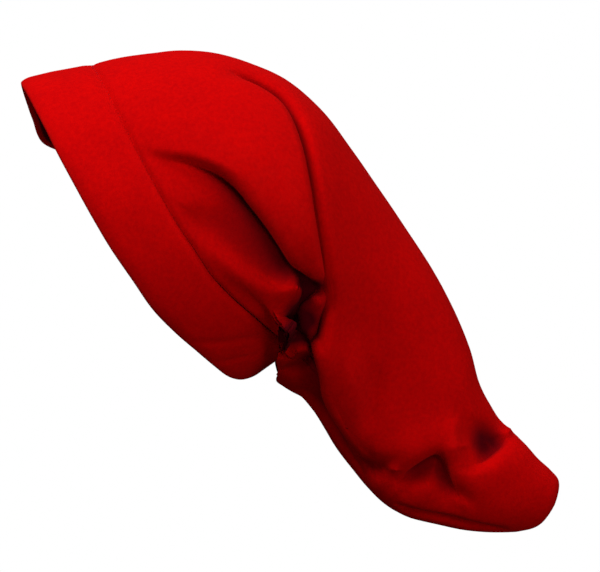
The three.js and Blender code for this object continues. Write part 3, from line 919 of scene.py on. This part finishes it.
    @staticmethod
    def _flat(layer: Array, share: Array) -> Array:
        """Lays the outer face flat.

        Args:
            layer: The face, as a grid of points.
            share: Their shares of the way from the top seam to the nape seam.

        Returns:
            Metres round each section from its middle, and metres down the middle.
        """
        girth = np.linalg.norm(np.diff(layer, axis=1), axis=-1).sum(1)
        middle = layer[:, layer.shape[1] // 2]
        down = np.concatenate([[0], np.cumsum(np.linalg.norm(np.diff(middle, axis=0), axis=-1))])
        across = (share - 0.5) * girth[:, None]
        return np.stack([across, np.broadcast_to(down[:, None], across.shape)], -1)

    def dress(self, piece: bpy.types.Object, material: bpy.types.Material, slot: str, band: str) -> None:
        place_piece(piece, material, self.node)


@dataclass
class HemBand:
    """The band round the head opening, cloth folded double with a soft rim.

    half_girth is half of the way round it, in rim lengths.
    """

    form: HatForm
    name: str = "band_cloth"
    node: str = "hem_band"
    cut: tuple[float, float] = (580 * MM, 38 * MM)
    columns: int = 420
    face_rows: int = 34
    rim_rows: int = 9
    rim_turn: float = 2.2 * MM
    rim_turn_share: float = 0.2
    seam_pull: float = 2.0 * MM
    seam_width: float = 2.2 * MM
    unevenness: float = 0.5 * MM
    waves: tuple[int, int] = (2, 14)
    wave_share: tuple[float, float] = (0.3, 1)
    wave_tilt: float = 2
    half_girth: float = 1.3
    crease_ends: tuple[float, float] = (-0.2, 0.3)
    rubbed_share: float = 0.06
    # inner_shade is painted shade on the band's inner face, and inner_start is where it begins up the height.
    inner_shade: float = 1.3
    inner_start: tuple[float, float] = (0.02, 0.12)
    seed: int = 11

    def _wrinkles(self, turn: Array, share: Array) -> Array:
        """Makes the band uneven, with the creases that its lower end folds into.

        Args:
            turn: Turns round the ring, from 0 at the forehead over 1 at the nape to 2.
            share: Shares of the height.

        Returns:
            Heights, a row for each turn.
        """
        random = np.random.default_rng(self.seed)
        height = np.zeros((len(turn), len(share)))
        fewest, most = self.waves
        for waves in range(fewest, most + 1):
            tilt, start = random.normal(0, self.wave_tilt), random.uniform(0, 2 * np.pi)
            size = random.uniform(*self.wave_share) / math.sqrt(waves)
            height += size * np.sin(np.pi * turn[:, None] * waves + tilt * share[None, :] + start)
        height *= self.unevenness / np.abs(height).max() * np.minimum(share, 1 - share)[None, :] * 4
        for crease in BAND_CREASES:
            along = (share - crease.low) / (crease.high - crease.low)
            middle = crease.turn_low + (crease.turn_high - crease.turn_low) * along
            off = (turn[:, None] - middle[None, :]) * self.form.rim_length * self.half_girth
            ends = smooth(along, *self.crease_ends) * smooth(1 - along, *self.crease_ends)
            height -= crease.depth * np.exp(-((off / crease.width) ** 2)) * ends[None, :]
        return height

    def _outline(self) -> tuple[Array, Array]:
        """Outlines the wall, down its outer face, round the rim and up its inner face.

        Returns:
            Shares of the height, and distances out of the panels' outer face.
        """
        form = self.form
        top = 1 - form.seam_gap / form.band_height
        outer = (form.band_wall - form.cloth_wall) / 2
        inner = outer - form.band_wall
        radius = form.band_wall / 2
        turn = np.linspace(0, np.pi, self.rim_rows)
        face = np.linspace(top, radius / form.band_height, self.face_rows)
        rim_share = radius * (1 - np.sin(turn)) / form.band_height
        rim_out = (outer + inner) / 2 + radius * np.cos(turn)
        share = np.concatenate([face[:-1], rim_share, face[-2::-1]])
        out = np.concatenate([np.full(len(face) - 1, outer), rim_out, np.full(len(face) - 1, inner)])
        return share, out

    def build(self) -> bpy.types.Object:
        """Builds the ring.

        Returns:
            The piece.
        """
        form = self.form
        share, out = self._outline()
        turn, around, halves = round_ring(self.columns)
        rings = np.zeros((self.columns, len(share), 3))
        section = between(np.stack([form.rim, form.sections[0]]), np.tile(share, (self.columns, 1)))
        spread = np.broadcast_to(around[:, None], section.shape[:2])
        turned_in = self.rim_turn * np.clip(1 - share / self.rim_turn_share, 0, 1) ** 2
        ditch = form.seam_ditch(around)[:, None]
        drawn = self.seam_pull * ditch * bell((1 - share) * form.band_height, self.seam_width)
        puff = out + form.band_puff * 4 * share * (1 - share) * np.sin(np.pi * spread) - turned_in - drawn
        puff = puff + self._wrinkles(turn, share)
        for hand, rows in halves:
            rings[rows] = form.on_section(section[rows], spread[rows], hand, puff[rows])
        rings[[0, self.columns // 2], :, 1] = 0
        corner = np.arange(rings.shape[0] * rings.shape[1]).reshape(rings.shape[:2])
        after, below = np.roll(corner, -1, 0), np.roll(corner, -1, 1)
        faces = np.stack([corner, below, np.roll(after, -1, 1), after], -1).reshape(-1, 4)
        across = np.repeat(turn * form.rim_length, len(share))
        uv = np.stack([across, np.tile(share * form.band_height, self.columns)], -1)
        piece = new_object(self.name, rings.reshape(-1, 3), [tuple(face) for face in faces.tolist()], uv)
        # Painted shade on the inner face: its crest is set below 0 so that the material darkens it.
        inside = (out < min(out) + form.band_wall / 2) * smooth(share, *self.inner_start)
        crest = bell(share, self.rubbed_share) * (1 - inside) - self.inner_shade * inside
        set_attribute(piece, "crest", np.tile(crest, self.columns))
        return piece

    def dress(self, piece: bpy.types.Object, material: bpy.types.Material, slot: str) -> None:
        place_piece(piece, material, self.node)


@dataclass
class SeamStitches:
    """Short bars of thread, sunk in the ditches of the seams, that join the band and the two panels."""

    form: HatForm
    name: str = "seam_stitches"
    spacing: float = 3 * MM
    half_length: float = 0.9 * MM
    rise: float = 0.45 * MM
    thread_radius: float = 0.2 * MM
    depth: float = 1.9 * MM
    end_gap: float = 0.12
    points: int = 400

    def _band_seam(self) -> tuple[Array, Array]:
        """Follows the band seam.

        Returns:
            Points round it, and the ways out of the cloth there.
        """
        _, around, halves = round_ring(self.points)
        where, outer = np.zeros((self.points, 3)), np.zeros((self.points, 3))
        for hand, rows in halves:
            section = np.tile(self.form.sections[0], (rows.sum(), 1))
            sunk = -self.depth * self.form.seam_ditch(around[rows])
            where[rows] = self.form.on_section(section, around[rows], hand, sunk)
            outer[rows] = self.form.on_section(section, around[rows], hand, sunk + MM)
        return where, unit(outer - where)

    def _panel_seam(self, around: float) -> tuple[Array, Array]:
        """Follows a seam between the panels.

        Args:
            around: 0 for the top seam, 1 for the nape seam.

        Returns:
            Points down it, and the ways out of the cloth there.
        """
        at = np.linspace(self.end_gap, self.form.tip - self.end_gap, self.points)
        share, in_middle = np.full(self.points, around), np.array([1, 0, 1])
        way = unit(self.form.outward(at, share, Hand.LEFT) * in_middle)
        return self.form.cloth(at, share, Hand.LEFT) * in_middle - self.depth * way, way

    def build(self, thread: bpy.types.Material) -> bpy.types.Object:
        """Lays the seams out as lines and lets the node tree set a stitch at each step.

        Args:
            thread: The stitches' material.

        Returns:
            The piece, as a plain mesh.
        """
        seams = (self._band_seam(), self._panel_seam(0), self._panel_seam(1))
        edges = [(i, (i + 1) % self.points) for i in range(self.points)]
        for first in (self.points, 2 * self.points):
            edges += [(first + i, first + i + 1) for i in range(self.points - 1)]
        mesh = bpy.data.meshes.new(self.name)
        mesh.from_pydata(np.vstack([line for line, _ in seams]).tolist(), edges, [])
        outward = mesh.attributes.new("out", "FLOAT_VECTOR", "POINT")
        outward.data.foreach_set("vector", np.vstack([way for _, way in seams]).ravel())
        piece = bpy.data.objects.new(self.name, mesh)
        bpy.context.scene.collection.objects.link(piece)
        group = thread_bars()
        modifier = piece.modifiers.new("stitches", "NODES")
        modifier.node_group = group
        values = {
            "Spacing": self.spacing,
            "Half length": self.half_length,
            "Rise": self.rise,
            "Thread radius": self.thread_radius,
            "Thread": thread,
        }
        for item in group.interface.items_tree:
            if item.in_out == "INPUT" and item.name in values:
                modifier[item.identifier] = values[item.name]
        seen = piece.evaluated_get(bpy.context.evaluated_depsgraph_get())
        made = bpy.data.meshes.new_from_object(seen)
        piece.modifiers.remove(modifier)
        piece.data = made
        made.polygons.foreach_set("use_smooth", [True] * len(made.polygons))
        return piece

    def dress(self, piece: bpy.types.Object, material: bpy.types.Material, slot: str) -> None:
        """Seats the stitches, which the node tree has given their thread."""
        place_piece(piece, material)


class Tree:
    """A short way to write a node tree."""

    def __init__(self, tree: bpy.types.NodeTree) -> None:
        """Takes the tree to write in."""
        self.tree = tree

    def add(
        self, kind: str, inputs: dict[str | int, object] | None = None, **settings: object
    ) -> bpy.types.Node:
        """Adds a node.

        Args:
            kind: The node's type.
            inputs: Values or output sockets for its inputs, by name or number.
            settings: The node's own settings.

        Returns:
            The node.
        """
        node = self.tree.nodes.new(kind)
        for key, value in settings.items():
            setattr(node, key, value)
        self.feed(node, inputs or {})
        return node

    def feed(self, node: bpy.types.Node, inputs: dict[str | int, object]) -> None:
        """Sets a node's inputs.

        Args:
            node: The node.
            inputs: Values or output sockets, by name or number.
        """
        for key, value in inputs.items():
            if isinstance(value, bpy.types.NodeSocket):
                self.tree.links.new(value, node.inputs[key])
            else:
                node.inputs[key].default_value = value

    def math(self, operation: str, *values: object) -> bpy.types.NodeSocket:
        """Adds a math node and gives its output."""
        return self.add("ShaderNodeMath", dict(enumerate(values)), operation=operation).outputs[0]

    def blend(self, share: object, low: object, high: object) -> bpy.types.NodeSocket:
        """Mixes two colours and gives the result."""
        return self.add("ShaderNodeMix", {0: share, 6: low, 7: high}, data_type="RGBA").outputs[2]

    def grade(self, value: object, **ends: object) -> bpy.types.NodeSocket:
        """Maps a range of values to another, given by the node's own names, and gives the result."""
        inputs = {name.replace("_", " ").title(): end for name, end in ends.items()}
        return self.add("ShaderNodeMapRange", {"Value": value, **inputs}).outputs[0]

    def noise(self, place: object, scale: float, detail: float, roughness: float) -> bpy.types.NodeSocket:
        """Adds a noise of scale bumps in a metre and gives its values, which lie about 0.5."""
        inputs = {"Vector": place, "Scale": scale, "Detail": detail, "Roughness": roughness}
        return self.add("ShaderNodeTexNoise", inputs).outputs[0]


def new_group(
    name: str, kind: str, inputs: dict[str, str], outputs: dict[str, str]
) -> tuple[Tree, bpy.types.bpy_prop_collection]:
    """Makes a node group that holds nothing but its inputs.

    Args:
        name: Name of the group.
        kind: Type of the tree.
        inputs: Type of each input by name.
        outputs: Type of each output by name.

    Returns:
        The group's tree, and its inputs as sockets to link from.
    """
    group = bpy.data.node_groups.new(name, kind)
    for way, sockets in (("INPUT", inputs), ("OUTPUT", outputs)):
        for label, holds in sockets.items():
            group.interface.new_socket(label, in_out=way, socket_type=f"NodeSocket{holds}")
    tree = Tree(group)
    return tree, tree.add("NodeGroupInput").outputs


def new_material(name: str) -> tuple[bpy.types.Material, Tree, bpy.types.Node, bpy.types.NodeSocket]:
    """Makes a material to be filled with nodes.

    Args:
        name: Name of the material.

    Returns:
        The material, its tree, its Principled BSDF, and the place on the piece in metres.
    """
    material = bpy.data.materials.new(name)
    material.use_nodes = True
    tree = Tree(material.node_tree)
    shader = material.node_tree.nodes["Principled BSDF"]
    return material, tree, shader, tree.add("ShaderNodeTexCoord").outputs["Object"]


def thread_bars() -> bpy.types.NodeTree:
    """Builds the node tree that sets an arched bar of thread across each step of a line.

    Returns:
        A geometry tree. The line's points carry the way out of the cloth as "out".
    """
    sizes = dict.fromkeys(("Spacing", "Half length", "Rise", "Thread radius"), "Float")
    inputs = {"Line": "Geometry", **sizes, "Thread": "Material"}
    tree, given = new_group("thread_bars", "GeometryNodeTree", inputs, {"Stitches": "Geometry"})
    arch_points, ring_points, shortest, longest, seed = 5, 6, 0.8, 1.15, 3
    line = tree.add("GeometryNodeMeshToCurve", {"Mesh": given["Line"]}).outputs[0]
    spaced = {"Curve": line, "Length": given["Spacing"]}
    steps = tree.add("GeometryNodeResampleCurve", spaced, mode="LENGTH").outputs[0]
    ends = [tree.math("MULTIPLY", given["Half length"], side) for side in (-1.0, 1.0)]
    below = tree.math("MULTIPLY", given["Rise"], -1.0)
    start, end = (tree.add("ShaderNodeCombineXYZ", {1: side, 2: below}).outputs[0] for side in ends)
    middle = tree.add("ShaderNodeCombineXYZ", {2: given["Rise"]}).outputs[0]
    bow = {"Resolution": arch_points, "Start": start, "Middle": middle, "End": end}
    arch = tree.add("GeometryNodeCurveQuadraticBezier", bow).outputs[0]
    thick = {"Resolution": ring_points, "Radius": given["Thread radius"]}
    ring = tree.add("GeometryNodeCurvePrimitiveCircle", thick).outputs[0]
    swept = {"Curve": arch, "Profile Curve": ring, "Fill Caps": True}
    bar = tree.add("GeometryNodeCurveToMesh", swept).outputs[0]
    stored = tree.add("GeometryNodeInputNamedAttribute", {"Name": "out"}, data_type="FLOAT_VECTOR")
    out = {"Vector": stored.outputs["Attribute"]}
    upright = tree.add("FunctionNodeAlignRotationToVector", out, axis="Z").outputs[0]
    along = {"Rotation": upright, "Vector": tree.add("GeometryNodeInputTangent").outputs[0]}
    turned = tree.add("FunctionNodeAlignRotationToVector", along, axis="X", pivot_axis="Z").outputs[0]
    lengths = {2: shortest, 3: longest, "Seed": seed}
    uneven = tree.add("FunctionNodeRandomValue", lengths, data_type="FLOAT").outputs[1]
    set_out = {"Points": steps, "Instance": bar, "Rotation": turned, "Scale": uneven}
    placed = tree.add("GeometryNodeInstanceOnPoints", set_out).outputs[0]
    real = tree.add("GeometryNodeRealizeInstances", {0: placed}).outputs[0]
    dressed = {"Geometry": real, "Material": given["Thread"]}
    tree.add("NodeGroupOutput", {"Stitches": tree.add("GeometryNodeSetMaterial", dressed).outputs[0]})
    return tree.tree


def brushed_weave() -> bpy.types.NodeTree:
    """Builds the group for cotton woven fine and brushed to a short nap.

    Returns:
        A group with the height of threads and nap, and masks for mottled dye and for fine grain.
    """
    inputs = {"Flat place": "Vector", "Place": "Vector", "Threads per metre": "Float", "Nap share": "Float"}
    outputs = dict.fromkeys(("Height", "Mottle", "Grain"), "Float")
    tree, given = new_group("brushed_weave", "ShaderNodeTree", inputs, outputs)
    place = given["Place"]
    apart = tree.add("ShaderNodeSeparateXYZ", {0: given["Flat place"]}).outputs
    turns = tree.math("MULTIPLY", given["Threads per metre"], math.pi)
    warp = tree.math("SINE", tree.math("MULTIPLY", apart["X"], turns))
    weft = tree.math("SINE", tree.math("MULTIPLY", apart["Y"], turns))
    weave = tree.math("MULTIPLY_ADD", tree.math("MULTIPLY", warp, weft), 0.5, 0.5)
    nap = tree.noise(place, scale=1500.0, detail=3.0, roughness=0.7)
    rest = tree.math("SUBTRACT", 1.0, given["Nap share"])
    raised = tree.math("MULTIPLY", nap, given["Nap share"])
    height = tree.math("MULTIPLY_ADD", weave, rest, raised)
    dye = tree.noise(place, scale=55.0, detail=4.0, roughness=0.6)
    fine = tree.noise(place, scale=450.0, detail=2.0, roughness=0.6)
    mottle = tree.grade(dye, from_min=0.32, from_max=0.68)
    grain = tree.grade(fine, from_min=0.3, from_max=0.7)
    tree.add("NodeGroupOutput", {"Height": height, "Mottle": mottle, "Grain": grain})
    return tree.tree


def rubbed_edges_and_painted_shade() -> bpy.types.NodeTree:
    """Builds the group for cloth rubbed pale on its crests, with painted shade in its deep folds.

    Returns:
        A group with a mask of the rubbed places and one of painted shade, from the depths of the folds.
    """
    inputs = {"Crest": "Float", "Place": "Vector", "Amount": "Float"}
    outputs = dict.fromkeys(("Rubbed", "Deep"), "Float")
    tree, given = new_group("rubbed_edges_and_painted_shade", "ShaderNodeTree", inputs, outputs)
    patch = tree.noise(given["Place"], scale=130.0, detail=6.0, roughness=0.7)
    uneven = tree.grade(patch, from_min=0.4, from_max=0.7)
    crest = tree.grade(given["Crest"], from_min=0.15, from_max=0.9)
    rubbed = tree.math("MULTIPLY", tree.math("MULTIPLY", crest, uneven), given["Amount"])
    # Painted shade: the lower the crest, the darker the cloth is painted.
    painted_shade = tree.grade(given["Crest"], from_min=-0.3, from_max=-1.05)
    tree.add("NodeGroupOutput", {"Rubbed": rubbed, "Deep": painted_shade})
    return tree.tree


@dataclass(frozen=True)
class ClothFinish:
    """Brushed cotton in one dye, with painted shade in its deep folds."""

    name: str
    slot: str
    dye: Colour = (0.71, 0.0, 0.0)
    deep_dye: Colour = (0.54, 0.0, 0.001)
    rubbed: Colour = (0.78, 0.006, 0.004)
    # Painted shade: the dark colour that deep folds, the painted shades and the band's inner face are mixed
    # towards, and how much.
    painted_fold_shade: Colour = (0.06, 0.0, 0.004)
    painted_fold_shade_share: float = 0.94
    grain_share: float = 0.7
    mottle_share: float = 0.3
    threads_per_metre: float = 1700.0
    nap_share: float = 0.65
    bump: float = 0.3
    bump_height: float = 0.25 * MM
    rubbing: float = 0.4
    roughness: tuple[float, float] = (0.86, 0.98)
    specular: float = 0.03
    sheen: float = 0.02
    sheen_roughness: float = 0.6
    sheen_tint: Colour = (1.0, 0.25, 0.2)

    def material(self, weave: bpy.types.NodeTree, edges: bpy.types.NodeTree) -> bpy.types.Material:
        """Builds the material.

        Args:
            weave: The brushed weave group.
            edges: The group for rubbed edges and painted shade.

        Returns:
            The material.
        """
        material, tree, shader, place = new_material(self.name)
        flat = tree.add("ShaderNodeUVMap", uv_map="cloth").outputs[0]
        crest = tree.add("ShaderNodeAttribute", attribute_name="crest").outputs["Fac"]
        woven = {
            "Flat place": flat,
            "Place": place,
            "Threads per metre": self.threads_per_metre,
            "Nap share": self.nap_share,
        }
        cloth = tree.add("ShaderNodeGroup", woven, node_tree=weave).outputs
        rubbing = {"Crest": crest, "Place": place, "Amount": self.rubbing}
        wear_and_painted_shade = tree.add("ShaderNodeGroup", rubbing, node_tree=edges).outputs
        mottle = tree.math("MULTIPLY", cloth["Mottle"], self.mottle_share)
        uneven = tree.math("MULTIPLY_ADD", cloth["Grain"], self.grain_share, mottle)
        dyed = tree.blend(uneven, (*self.deep_dye, 1), (*self.dye, 1))
        worn = tree.blend(wear_and_painted_shade["Rubbed"], dyed, (*self.rubbed, 1))
        # Painted shade: the colour goes dark where the folds lie deep, in the painted shades and on the
        # band's inner face.
        painted_shade = tree.math("MULTIPLY", wear_and_painted_shade["Deep"], self.painted_fold_shade_share)
        low, high = self.roughness
        nap = {"Strength": self.bump, "Distance": self.bump_height, "Height": cloth["Height"]}
        tree.feed(shader, {
            "Base Color": tree.blend(painted_shade, worn, (*self.painted_fold_shade, 1)),
            "Roughness": tree.grade(cloth["Grain"], to_min=high, to_max=low),
            "Normal": tree.add("ShaderNodeBump", nap).outputs[0],
            "Specular IOR Level": self.specular,
            "Sheen Weight": self.sheen,
            "Sheen Roughness": self.sheen_roughness,
            "Sheen Tint": (*self.sheen_tint, 1),
        })
        return material


@dataclass(frozen=True)
class ThreadFinish:
    """Spun sewing thread."""

    name: str
    slot: str
    dye: Colour = (0.5, 0.0, 0.01)
    dark_dye: Colour = (0.3, 0.0, 0.006)
    fibres_per_metre: float = 2500.0
    bump: float = 0.4
    bump_height: float = 0.05 * MM
    roughness: float = 0.75
    specular: float = 0.2

    def material(self) -> bpy.types.Material:
        """Builds the material.

        Returns:
            The material.
        """
        material, tree, shader, place = new_material(self.name)
        fibre = tree.noise(place, self.fibres_per_metre, detail=3.0, roughness=0.5)
        spun = {"Strength": self.bump, "Distance": self.bump_height, "Height": fibre}
        tree.feed(shader, {
            "Base Color": tree.blend(fibre, (*self.dark_dye, 1), (*self.dye, 1)),
            "Normal": tree.add("ShaderNodeBump", spun).outputs[0],
            "Roughness": self.roughness,
            "Specular IOR Level": self.specular,
        })
        return material


@dataclass(frozen=True)
class SoftLight:
    """A square light.

    turn is in degrees from the camera's side towards the left of the picture, and rise in degrees upwards.
    """

    name: str
    turn: float
    rise: float
    watts: float
    size: float


LIGHTS = (
    SoftLight("top", 60, 75, 7, 0.5),
    SoftLight("left key", 60, 45, 9, 0.5),
    SoftLight("right key", -60, 45, 4.2, 0.5),
    SoftLight("front key", 20, 45, 3, 0.5),
    SoftLight("front fill", -20, 15, 2.4, 0.5),
    SoftLight("low left", 20, -20, 2.4, 0.5),
    SoftLight("low right", -60, -20, 2.3, 0.5),
)


@dataclass
class Studio:
    """Soft light, a white surround and the camera at the photograph's angle."""

    pixel: float = 0.56 * MM
    frame_width: int = 600
    frame_height: int = 572
    origin_pixel: tuple[float, float] = (135, 230)
    azimuth: float = math.radians(5)
    distance: float = 1.6
    sensor: float = 36
    light_distance: float = 1.5
    surround_light: float = 0.01
    aim: tuple[float, float, float] = (0.09, 0, -0.03)

    def build(self) -> None:
        """Builds the camera, the lights and the surround."""
        scene = bpy.context.scene
        scene.view_settings.view_transform = "Standard"
        self._camera(scene)
        self._lights(scene)
        self._world(scene)

    def _camera(self, scene: bpy.types.Scene) -> None:
        """Places the camera so that a pixel of the photograph is as large as the hat's scale says.

        Args:
            scene: The scene.
        """
        data = bpy.data.cameras.new("camera")
        camera = bpy.data.objects.new("camera", data)
        scene.collection.objects.link(camera)
        x, z = self.origin_pixel
        right, up = self.frame_width / 2 - x, z - self.frame_height / 2
        middle = Vector((right * self.pixel, 0, up * self.pixel))
        look = Vector((math.sin(self.azimuth), math.cos(self.azimuth), 0))
        camera.location = middle - look * self.distance
        camera.rotation_euler = look.to_track_quat("-Z", "Y").to_euler()
        data.sensor_width = self.sensor
        data.lens = self.sensor * self.distance / (self.frame_width * self.pixel)
        scene.camera = camera

    def _lights(self, scene: bpy.types.Scene) -> None:
        """Hangs each light round the hat, facing its middle.

        Args:
            scene: The scene.
        """
        for light in LIGHTS:
            turn, rise = math.radians(light.turn) - self.azimuth, math.radians(light.rise)
            level = math.cos(rise)
            way = Vector((-math.sin(turn) * level, -math.cos(turn) * level, math.sin(rise)))
            data = bpy.data.lights.new(light.name, "AREA")
            data.energy = light.watts
            data.size = light.size
            lamp = bpy.data.objects.new(light.name, data)
            lamp.location = Vector(self.aim) + way * self.light_distance
            lamp.rotation_euler = (-way).to_track_quat("-Z", "Y").to_euler()
            scene.collection.objects.link(lamp)

    def _world(self, scene: bpy.types.Scene) -> None:
        """Makes a white surround that lights the hat only weakly.

        Args:
            scene: The scene.
        """
        world = bpy.data.worlds.new("surround")
        scene.world = world
        world.use_nodes = True
        world.node_tree.nodes.clear()
        tree = Tree(world.node_tree)
        white = (1, 1, 1, 1)
        seen = tree.add("ShaderNodeBackground", {0: white, 1: 1.0}).outputs[0]
        light = tree.add("ShaderNodeBackground", {0: white, 1: self.surround_light}).outputs[0]
        camera = tree.add("ShaderNodeLightPath").outputs["Is Camera Ray"]
        mixed = tree.add("ShaderNodeMixShader", {0: camera, 1: light, 2: seen}).outputs[0]
        tree.add("ShaderNodeOutputWorld", {0: mixed})


def main() -> None:
    """Builds the hat round the frame, then the studio."""
    logging.basicConfig(level=logging.INFO, format="%(name)s %(message)s")
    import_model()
    form = HatForm()
    weave, edges = brushed_weave(), rubbed_edges_and_painted_shade()
    panel_finish = ClothFinish("red_brushed_cotton", "panel_cloth")
    band_finish = ClothFinish("red_band_cotton", "band_cloth", rubbing=0.6)
    panel_cloth, band_cloth = panel_finish.material(weave, edges), band_finish.material(weave, edges)
    band = HemBand(form)
    band.dress(band.build(), band_cloth, band_finish.slot)
    for hand, folds, swells, shades in (
        (Hand.LEFT, LEFT_FOLDS, LEFT_SWELLS, LEFT_SHADES),
        (Hand.RIGHT, RIGHT_FOLDS, RIGHT_SWELLS, ()),
    ):
        side, cloth = hand.name.lower(), FoldedCloth(form, hand, folds, swells, shades)
        panel = ClothPanel(form, cloth, f"{side}_cloth", f"{side}_panel")
        panel.dress(panel.build(), panel_cloth, panel_finish.slot, band.node)
    thread_finish = ThreadFinish("red_sewing_thread", "thread")
    thread, stitches = thread_finish.material(), SeamStitches(form)
    stitches.dress(stitches.build(thread), thread, thread_finish.slot)
    Studio().build()


if __name__ == "__main__":
    main()
